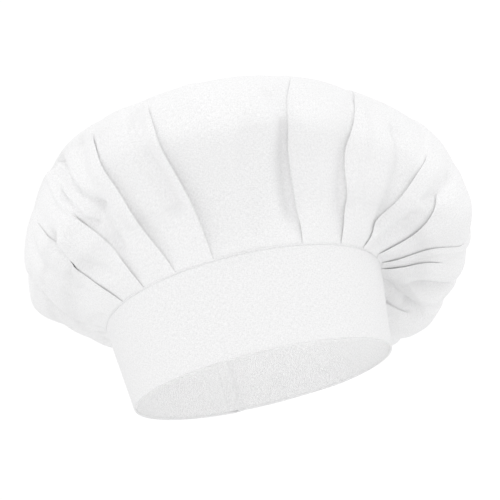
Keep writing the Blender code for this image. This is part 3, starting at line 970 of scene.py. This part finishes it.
def make_band():
    halves, back = rolled_end()
    end_deg = HINGE_DEG - np.degrees(back / BAND_HALF_LENGTH)
    main = np.arange(SPLIT_DEG - 360.0, HINGE_DEG - 1.0, 1.0)
    angles = np.concatenate([main, end_deg])
    half = np.concatenate([np.full(len(main), ROLL), halves])
    half = half * (1.0 - 0.5 * thinned(angles))
    low = 0.0 * angles
    high = low + BAND_HEIGHT
    cloth = laminate("band_cloth", angles, tuck_at(angles), low, high, half, STITCH_GROOVE)
    finish_piece(cloth, "hat", BAND_POPLIN_PAINTED_SHADE, "poplin", ("band_outer", "band_interlining"))
    length = float(arc_lengths(band_point(angles, 0.5 * BAND_HEIGHT, 0.0))[-1])
    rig.sheet(cloth, flat=(length, BAND_HEIGHT), held="stretched", rests_on=["band_lining"])

    # The lining runs on over the tucked end and comes to lie just inside the tab's lining beyond it.
    angles = np.append(main, np.linspace(HINGE_DEG - 1.0, HINGE_DEG + END_COVER_DEG, 16))
    low = 0.0 * angles + LINING_INSET
    high = 0.0 * angles + BAND_HEIGHT - LINING_INSET
    thinner = 0.5 * ROLL * thinned(angles)
    over_end = smoothstep((angles - HINGE_DEG - 0.2) / (END_COVER_DEG - 0.4))
    depth = LINING_DEPTH + (tuck_at(angles) - thinner) * (1.0 - over_end) + COVER_GAP * over_end
    lining = panel("band_lining", angles, depth, low, high)
    finish_piece(lining, "hat", TWILL, "band_inside", ("band_facing",))
    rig.sheet(lining, flat=(length, BAND_HEIGHT), held="stretched", rests_on=["band_cloth"])


def make_tab():
    """The other end of the band runs on past the hinge as the tab that covers the tucked end."""
    halves, back = rolled_end()
    distances = tab_distances(float(TRACK[0]))
    half = np.full(len(distances), ROLL)
    ends = TAB_LENGTH - back[1:]
    before = distances < ends[0] - 0.0001
    distances = np.concatenate([distances[before], ends])
    half = np.concatenate([half[before], halves[1:]])
    low, high = tab_edges(distances)
    cloth = laminate("tab_cloth", tab_angle(distances), 0.0, low, high, half)
    finish_piece(cloth, "", BAND_POPLIN_PAINTED_SHADE, "poplin", ("tab_outer", "tab_interlining"))
    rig.blend(cloth, "hat", "closure_tab", **hinge_points(BEND))
    length = TAB_LENGTH - float(TRACK[0])
    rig.sheet(cloth, flat=(length, BAND_HEIGHT), held="stretched", rests_on=["tab_lining"])

    distances = tab_distances(float(TRACK[0]), LINING_INSET)
    low, high = tab_edges(distances, LINING_INSET)
    lining = panel("tab_lining", tab_angle(distances), LINING_DEPTH, low, high)
    finish_piece(lining, "", TWILL, "band_inside", ("tab_facing",))
    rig.blend(lining, "hat", "closure_tab", **hinge_points(BEND))
    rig.sheet(lining, flat=(length, BAND_HEIGHT), held="stretched", rests_on=["tab_cloth"])


# ---- stitches
STITCH_PITCH = 0.0029
STITCH_LENGTH = 0.0021
STITCH_WANDER = 0.00003
STITCH_DIVE = 0.00022
STITCH_ARCH = 0.00034
THREAD_RADIUS = 0.00021
SEAM_LEAD_DEG = 10.5
LINING_STITCH_DROP = 0.0010


def stitches(name, route, normals):
    """A row of machine stitches: short threads that arch over the cloth and dive in at both ends."""
    travelled = arc_lengths(route)
    total = travelled[-1]
    count = max(1, int(total / STITCH_PITCH))
    starts = (np.arange(count) + 0.5) * total / count - STITCH_LENGTH / 2.0
    sides, rings = 6, 7
    verts, faces = [], []

    def read(values, at):
        return np.array([np.interp(at, travelled, values[:, i]) for i in range(3)])

    for start in starts:
        wave = rng.normal(0.0, STITCH_WANDER, 2)
        faces += tube_faces(len(verts), rings, sides)
        for k in range(rings):
            t = k / (rings - 1)
            at = start + t * STITCH_LENGTH
            centre, out = read(route, at), read(normals, at)
            ahead = read(route, at + 1e-4) - centre
            if np.linalg.norm(ahead) < 1e-9:
                ahead = route[-1] - route[-2]
            ahead /= np.linalg.norm(ahead)
            side = np.cross(out, ahead)
            side /= np.linalg.norm(side)
            arch = math.sin(math.pi * t) ** 0.6
            lift = -STITCH_DIVE + STITCH_ARCH * arch + wave[0]
            thick = THREAD_RADIUS * (0.55 + 0.45 * arch)
            for j in range(sides):
                a = 2.0 * math.pi * j / sides
                over, aside = lift + thick * math.sin(a), thick * math.cos(a) + wave[1] * t
                verts.append((centre + out * over + side * aside).tolist())
    return thread_mesh(name, verts, faces, THREAD_PAINTED_SHADE)


def on_band(angles, heights, depth, outward=1.0):
    """A route on the band's face and the way out of the cloth along it."""
    route = band_point(angles, heights, depth)
    normals = (band_point(angles, heights, -1.0) - band_point(angles, heights, 0.0)) * outward
    return route, normals


def joined(name, pieces, body, slot_name, nodes):
    """One object from several of the same material."""
    bpy.ops.object.select_all(action="DESELECT")
    for piece in pieces:
        piece.select_set(True)
    bpy.context.view_layer.objects.active = pieces[0]
    bpy.ops.object.join()
    obj = bpy.context.view_layer.objects.active
    obj.name = name
    declare(obj, body, slot_name, nodes)
    return obj


def stitched(name, routes, body, nodes):
    pieces = [stitches(name, route, normals) for route, normals in routes]
    joined(name, pieces, body, "thread", nodes)


def make_seam_stitching():
    """The row that closes the band over the crown's edge, seen on the outside and on the lining."""
    angles = np.arange(SPLIT_DEG - 360.0 - SEAM_LEAD_DEG, HINGE_DEG - 0.5, 1.0)
    height = BAND_HEIGHT - SEAM_STITCH_INSET
    outside = on_band(angles, height, tuck_at(angles))
    inside = on_band(angles, height - LINING_STITCH_DROP, tuck_at(angles) + LINING_DEPTH, -1.0)
    stitched("seam_stitching", (outside, inside), "hat", ("band_topstitch",))


def make_tab_stitching():
    distances = tab_distances(BEND + 0.001, EDGE_STITCH_INSET)
    low, high = tab_edges(distances, EDGE_STITCH_INSET)
    angles = tab_angle(distances)
    angles = np.concatenate([angles, angles[::-1]])
    heights = np.concatenate([high, low[::-1]])
    outside = on_band(angles, heights, 0.0)
    inside = on_band(angles, heights, LINING_DEPTH, -1.0)
    stitched("tab_stitching", (outside, inside), "closure_tab", ("tab_edge_stitching",))


# ---- hook and loop tape
TAPE_GAP = 0.0001
TAPE_STITCH_INSET = 0.002
SPOT_MARGINS = (0.0022, 0.002)


def tape_box(inset):
    """Distances and heights of a box inside the tape's edges, once round it."""
    first, last = TAPE_MARGIN + inset, TAB_LENGTH - TAPE_MARGIN - inset
    low, high = TAPE_LOW + inset, TAPE_HIGH - inset
    along, up = np.linspace(first, last, 24), np.linspace(low, high, 12)
    distances = np.concatenate([along, 0 * up + last, along[::-1], 0 * up + first])
    heights = np.concatenate([0 * along + low, up, 0 * along + high, up[::-1]])
    return tab_angle(distances), heights


def tape_backing(name, depth):
    """A strip of woven tape with heat-cut edges."""
    distances = np.linspace(TAPE_MARGIN, TAB_LENGTH - TAPE_MARGIN, 40)
    edge = TAPE_THICKNESS * 0.5
    low, high = TAPE_LOW + edge, TAPE_HIGH - edge
    section = [(0.0, low), (0.0, high), (edge, TAPE_HIGH), (TAPE_THICKNESS, high), (TAPE_THICKNESS, low),
               (edge, TAPE_LOW), (0.0, low)]
    angles = tab_angle(distances)
    points = np.array([band_point(angles, h, depth + d) for d, h in section])
    first, last = (end.mean(axis=0, keepdims=True).repeat(len(section), 0)
                   for end in (points[:, :1], points[:, -1:]))
    points = np.concatenate([first, points, last], axis=1)
    flat = np.concatenate([distances[:1], distances, distances[-1:]])
    across = arc_lengths(np.array(section))
    uv = np.stack(np.broadcast_arrays(flat[None, :], across[:, None]), axis=-1)
    backing = grid_mesh(name, points, uv, weld=1e-6)
    backing.data.materials.append(TAPE)
    return backing


def filaments(name, paths, radius):
    """Short threads as one mesh: each path is a list of points."""
    sides = 4
    verts, faces = [], []
    for path in paths:
        path = np.asarray(path)
        faces += tube_faces(len(verts), len(path), sides)
        ahead = np.gradient(path, axis=0)
        ahead /= np.linalg.norm(ahead, axis=1, keepdims=True)
        side = np.cross(ahead, [0.13, 0.31, 0.94])
        side /= np.linalg.norm(side, axis=1, keepdims=True)
        out = np.cross(side, ahead)
        for centre, s, o in zip(path, side, out):
            for j in range(sides):
                a = 2.0 * math.pi * j / sides
                verts.append((centre + radius * (s * math.cos(a) + o * math.sin(a))).tolist())
    return thread_mesh(name, verts, faces, TAPE)


def tape_spots(pitch, jitter):
    """Places over the tape's working face, a margin in from its edges."""
    first, last = SPOT_MARGINS
    columns = np.arange(TAPE_MARGIN + first, TAB_LENGTH - TAPE_MARGIN - last, pitch)
    rows = np.arange(TAPE_LOW + first, TAPE_HIGH - last, pitch)
    for i, distance in enumerate(columns):
        for height in rows + (i % 2) * pitch * 0.5:
            wander = rng.uniform(-jitter, jitter, 2)
            yield distance + wander[0], height + wander[1]


def make_hook_tape():
    depth = LINING_DEPTH + TAPE_GAP
    face = depth + TAPE_THICKNESS
    backing = tape_backing("hook_tape_backing", depth)
    paths = []
    for distance, height in tape_spots(0.0016, 0.0001):
        turn = np.linspace(-0.2, 1.15, 7) * math.pi
        along = 0.00045 * (1.0 - np.cos(turn)) * 0.5
        rise = np.interp(turn, (turn[0], 0.5 * math.pi, turn[-1]), (0.0, 0.0013, 0.0008))
        paths.append([band_point(float(tab_angle(distance + a)), height, face + r)
                      for a, r in zip(along, rise)])
    hooks = filaments("hooks", paths, 0.0001)
    joined("hook_tape_detail", (backing, hooks), "closure_tab", "tape", ("hook_tape",))
    outside = on_band(*tape_box(TAPE_STITCH_INSET), 0.0)
    inside = on_band(*tape_box(TAPE_STITCH_INSET), face, -1.0)
    stitched("hook_tape_stitches", (outside, inside), "closure_tab", ("hook_tape_stitching",))


def make_loop_tape():
    face = TUCK - TAPE_GAP - TAPE_THICKNESS
    backing = tape_backing("loop_tape_backing", face)
    paths = []
    for distance, height in tape_spots(0.0011, 0.0005):
        spread, tall = rng.uniform(0.0004, 0.0011), rng.uniform(0.0005, 0.0010)
        heading = rng.uniform(0.0, 2.0 * math.pi)
        turn = np.linspace(0.0, math.pi, 7)
        along = -np.cos(turn) * spread * math.cos(heading)
        across = -np.cos(turn) * spread * math.sin(heading)
        lift = np.sin(turn) ** 0.7 * tall
        paths.append([band_point(float(tab_angle(distance + a)), height + b, face - c)
                      for a, b, c in zip(along, across, lift)])
    pile = filaments("pile", paths, 0.00007)
    joined("loop_tape_detail", (backing, pile), "hat", "tape", ("loop_tape",))
    outside = on_band(*tape_box(TAPE_STITCH_INSET), face)
    inside = on_band(*tape_box(TAPE_STITCH_INSET), TUCK + LINING_DEPTH, -1.0)
    stitched("loop_tape_stitches", (outside, inside), "hat", ("loop_tape_stitching",))


# ---- stage, light and camera
def make_floor():
    bpy.ops.mesh.primitive_plane_add(size=12.0, location=(0.0, 0.0, FLOOR_LEVEL))
    floor = bpy.context.object
    floor.name = "floor"
    material = bpy.data.materials.new("floor")
    material.use_nodes = True
    shader = material.node_tree.nodes["Principled BSDF"]
    shader.inputs["Base Color"].default_value = (0.9, 0.9, 0.9, 1.0)
    shader.inputs["Roughness"].default_value = 0.9
    floor.data.materials.append(material)
    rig.stage(floor)


def make_world():
    """An even white surround, a little brighter as a backdrop than as a light."""
    world = bpy.data.worlds.new("studio")
    world.use_nodes = True
    tree = world.node_tree
    background = tree.nodes["Background"]
    background.inputs[0].default_value = (0.997, 0.996, 1.0, 1.0)
    background.inputs[1].default_value = WORLD_STRENGTH
    white = tree.nodes.new("ShaderNodeBackground")
    white.inputs[0].default_value = (1.0, 1.0, 1.0, 1.0)
    white.inputs[1].default_value = BACKDROP_STRENGTH
    path = tree.nodes.new("ShaderNodeLightPath")
    mix = tree.nodes.new("ShaderNodeMixShader")
    tree.links.new(path.outputs["Is Camera Ray"], mix.inputs[0])
    tree.links.new(background.outputs[0], mix.inputs[1])
    tree.links.new(white.outputs[0], mix.inputs[2])
    tree.links.new(mix.outputs[0], tree.nodes["World Output"].inputs[0])
    scene.world = world


def make_lights():
    for name, place, size, power in LIGHTS:
        light = bpy.data.lights.new(name, "AREA")
        light.shape = "DISK"
        light.size = size
        light.energy = power
        obj = bpy.data.objects.new(name, light)
        scene.collection.objects.link(obj)
        obj.location = place
        towards = Vector(LIGHTS_AIM) - Vector(place)
        obj.rotation_euler = towards.to_track_quat("-Z", "Y").to_euler()
        obj.visible_camera = False

    # The cloth lets no light through, so a lamp inside stands for the glow of a thin white crown.
    glow = bpy.data.objects.new("glow", bpy.data.lights.new("glow", "POINT"))
    glow.data.energy = GLOW_POWER
    glow.data.shadow_soft_size = 0.05
    glow.location = (0.01, 0.0, 0.115)
    glow.visible_camera = False
    scene.collection.objects.link(glow)


def make_camera():
    """In front, below the band and looking up, rolled so that the hat leans to the left."""
    elevation, distance = math.radians(-13.47), 0.6104
    pan, tilt, roll = math.radians(1.15), math.radians(6.10), math.radians(13.71)
    aim = Vector((0.0, 0.0, 0.0302))
    place = Vector((0.0, -distance * math.cos(elevation), distance * math.sin(elevation)))
    forward = -place.normalized()
    right = Vector((1.0, 0.0, 0.0))
    up = right.cross(forward)
    forward = (forward * math.cos(tilt) * math.cos(pan) + right * math.sin(pan) * math.cos(tilt)
               + up * math.sin(tilt)).normalized()
    right = forward.cross(up).normalized()
    up = right.cross(forward)
    rolled_right = right * math.cos(roll) - up * math.sin(roll)
    rolled_up = right * math.sin(roll) + up * math.cos(roll)
    camera = bpy.data.objects.new("camera", bpy.data.cameras.new("camera"))
    scene.collection.objects.link(camera)
    turn = Matrix((rolled_right, rolled_up, -forward)).transposed()
    camera.matrix_world = Matrix.Translation(place + aim) @ turn.to_4x4()
    camera.data.lens = 61.16
    camera.data.sensor_width = 36.0
    scene.camera = camera


make_camera()
make_floor()
make_world()
make_lights()
make_crown()
make_band()
make_tab()
make_seam_stitching()
make_tab_stitching()
make_hook_tape()
make_loop_tape()
scene.view_settings.view_transform = "Standard"

with open("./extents.json", "w") as report:
    json.dump({"cad": [list(c) for c in cad_box], "visual": [list(c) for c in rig.bounds()]}, report)
